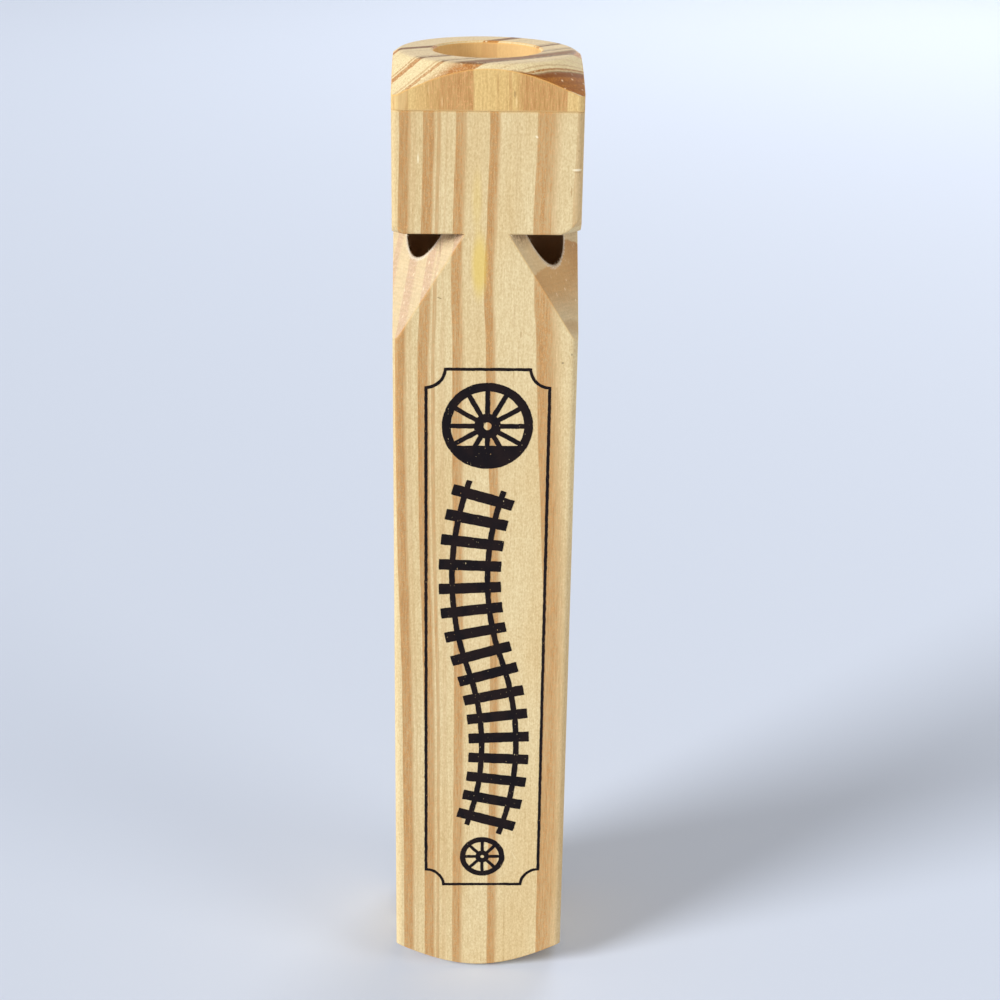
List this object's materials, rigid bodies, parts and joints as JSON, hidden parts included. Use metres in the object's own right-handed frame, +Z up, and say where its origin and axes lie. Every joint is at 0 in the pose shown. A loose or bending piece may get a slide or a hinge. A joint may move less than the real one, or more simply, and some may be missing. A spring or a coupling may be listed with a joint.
{
  "type": "train whistle",
  "caption": "Square softwood train whistle with stopped pipes, corner notches, a turned mouthpiece cap and a plain railway print on its front.",
  "frame": {"origin": "centre of the foot, on the surface that the whistle stands on", "axes": "+Z up along the whistle towards the mouth hole, -Y out of the printed front, +X to the right seen from the front"},
  "size_m": [0.038, 0.0381, 0.208],
  "materials": {
    "block_wood": "bare sanded softwood with tan growth rings",
    "cap_wood": "bare turned softwood, more orange than the block",
    "plug_wood": "bare dowel wood",
    "black_ink": "thin dry black printing ink"
  },
  "bodies": {
    "root": {"block": "block_wood", "mouthpiece_cap": "cap_wood", "fipple_plug_front_left": "plug_wood", "fipple_plug_front_right": "plug_wood", "fipple_plug_back_right": "plug_wood", "fipple_plug_back_left": "plug_wood", "printed_design": "black_ink"}
  },
  "joints": []
}
